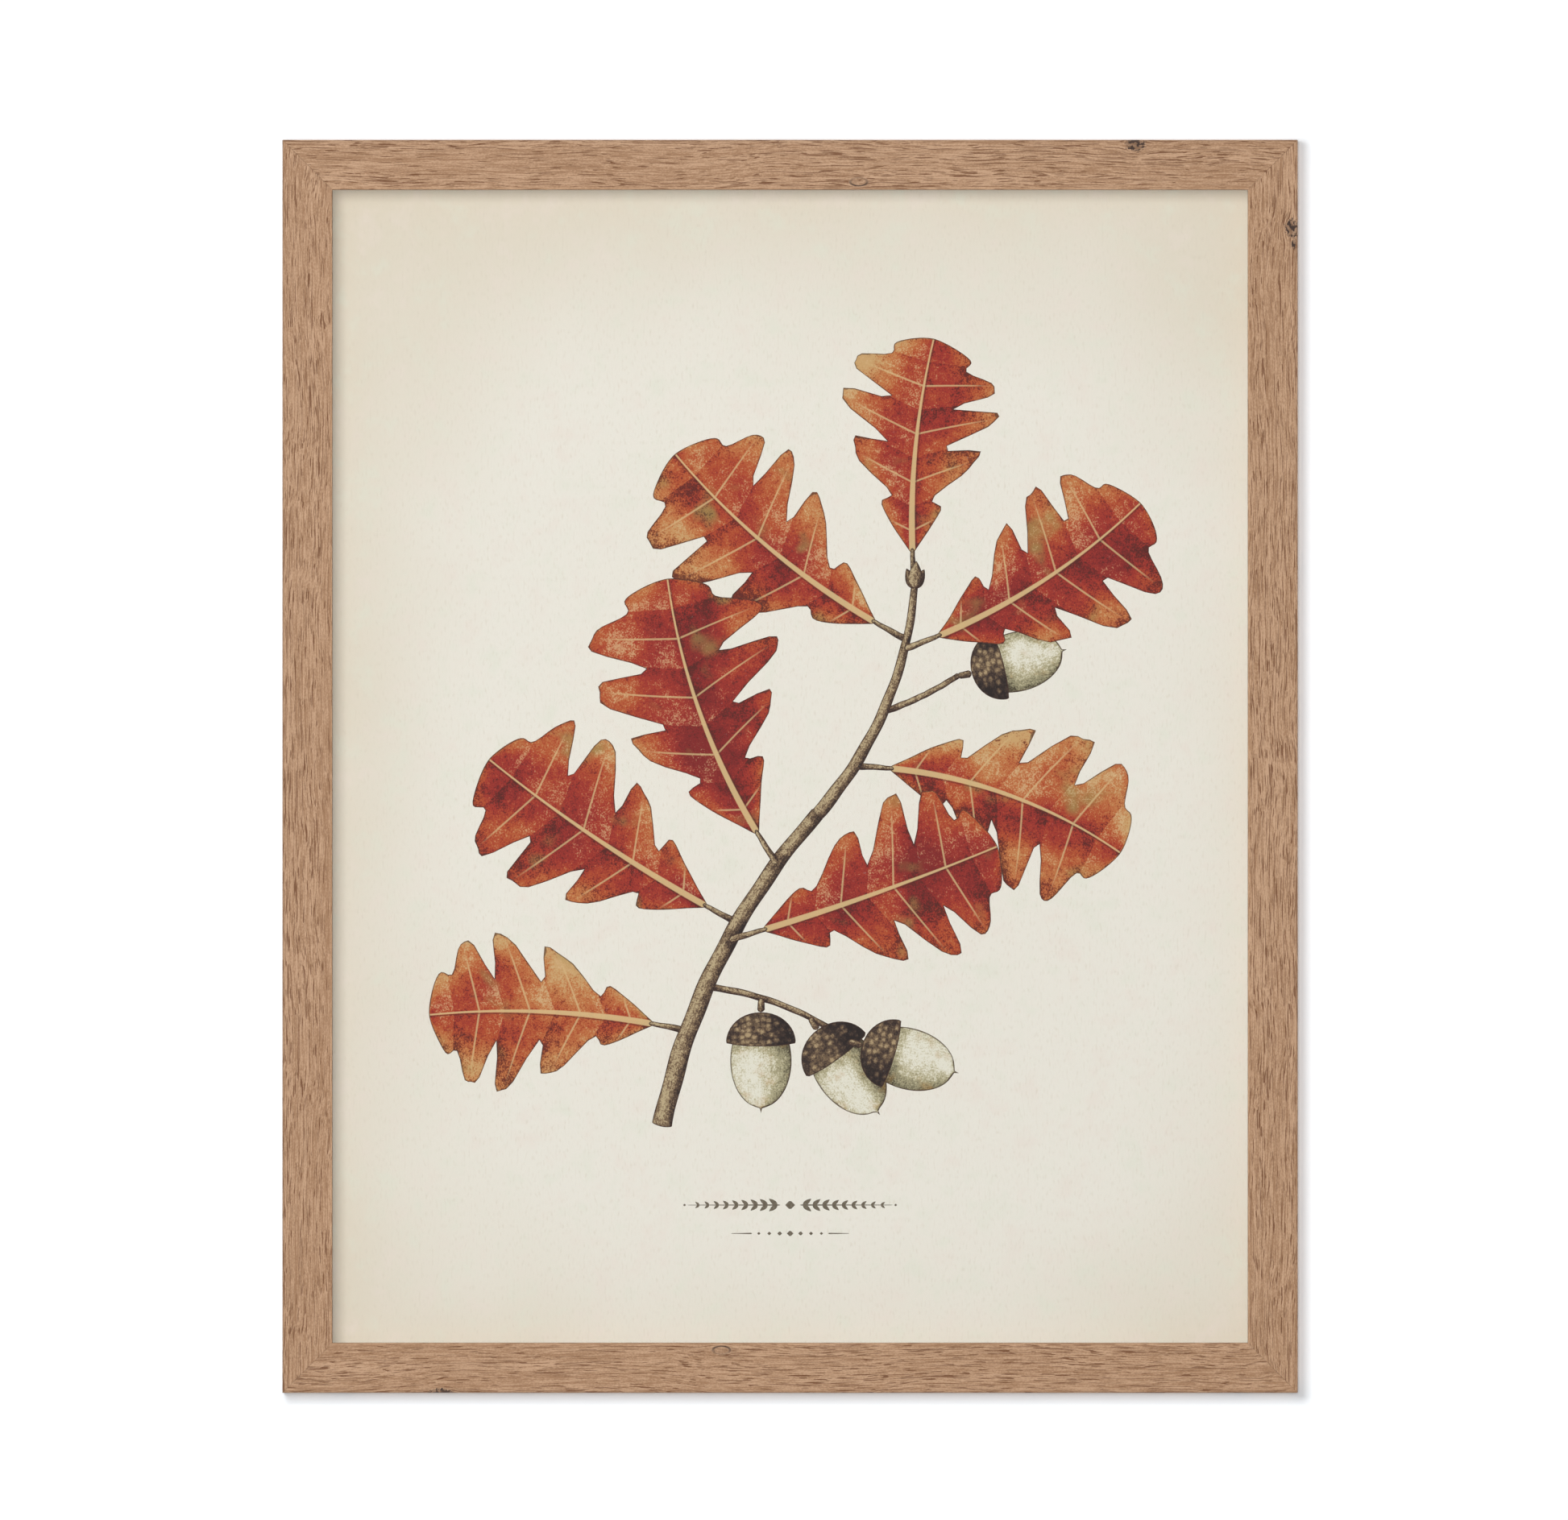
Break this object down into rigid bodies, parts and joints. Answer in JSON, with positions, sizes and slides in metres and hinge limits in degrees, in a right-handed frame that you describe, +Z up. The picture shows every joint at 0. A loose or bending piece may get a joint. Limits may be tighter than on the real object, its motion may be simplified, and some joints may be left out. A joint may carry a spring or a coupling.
{
  "type": "framed print",
  "caption": "Oak picture frame with mitred square moulding, clear glazing, a botanical print, a backing board and a sawtooth hanger.",
  "frame": {"origin": "top of the hanger's middle notch, in the plane of the wall, where a nail's or hook's shank bears", "axes": "+Z up along the frame's height, +Y into the wall so that the picture faces -Y, +X to the viewer's right"},
  "size_m": [0.428, 0.025, 0.528],
  "materials": {
    "oak": "open-grained oak with a matt clear finish",
    "steel": "bright sheet steel",
    "glass": "clear picture glass",
    "paper": "matt cream paper, printed",
    "hardboard": "smooth pressed hardboard",
    "brass_plate": "brass-plated, softly worn",
    "felt": "dense grey felt"
  },
  "bodies": {
    "root": {"rail_top": "oak", "rail_bottom": "oak", "stile_left": "oak", "stile_right": "oak", "rail_top_tab_1": "steel", "rail_top_tab_2": "steel", "rail_bottom_tab_1": "steel", "rail_bottom_tab_2": "steel", "stile_left_tab_1": "steel", "stile_left_tab_2": "steel", "stile_left_tab_3": "steel", "stile_right_tab_1": "steel", "stile_right_tab_2": "steel", "stile_right_tab_3": "steel", "v_nail_top_left_outer": "steel", "v_nail_top_left_inner": "steel", "v_nail_top_right_outer": "steel", "v_nail_top_right_inner": "steel", "v_nail_bottom_left_outer": "steel", "v_nail_bottom_left_inner": "steel", "v_nail_bottom_right_outer": "steel", "v_nail_bottom_right_inner": "steel", "glazing": "glass", "print_sheet": "paper", "backing_board": "hardboard", "hanger": "brass_plate", "hanger_nail_left": "brass_plate", "hanger_nail_right": "brass_plate", "bumper_left": "felt", "bumper_right": "felt"}
  },
  "joints": []
}
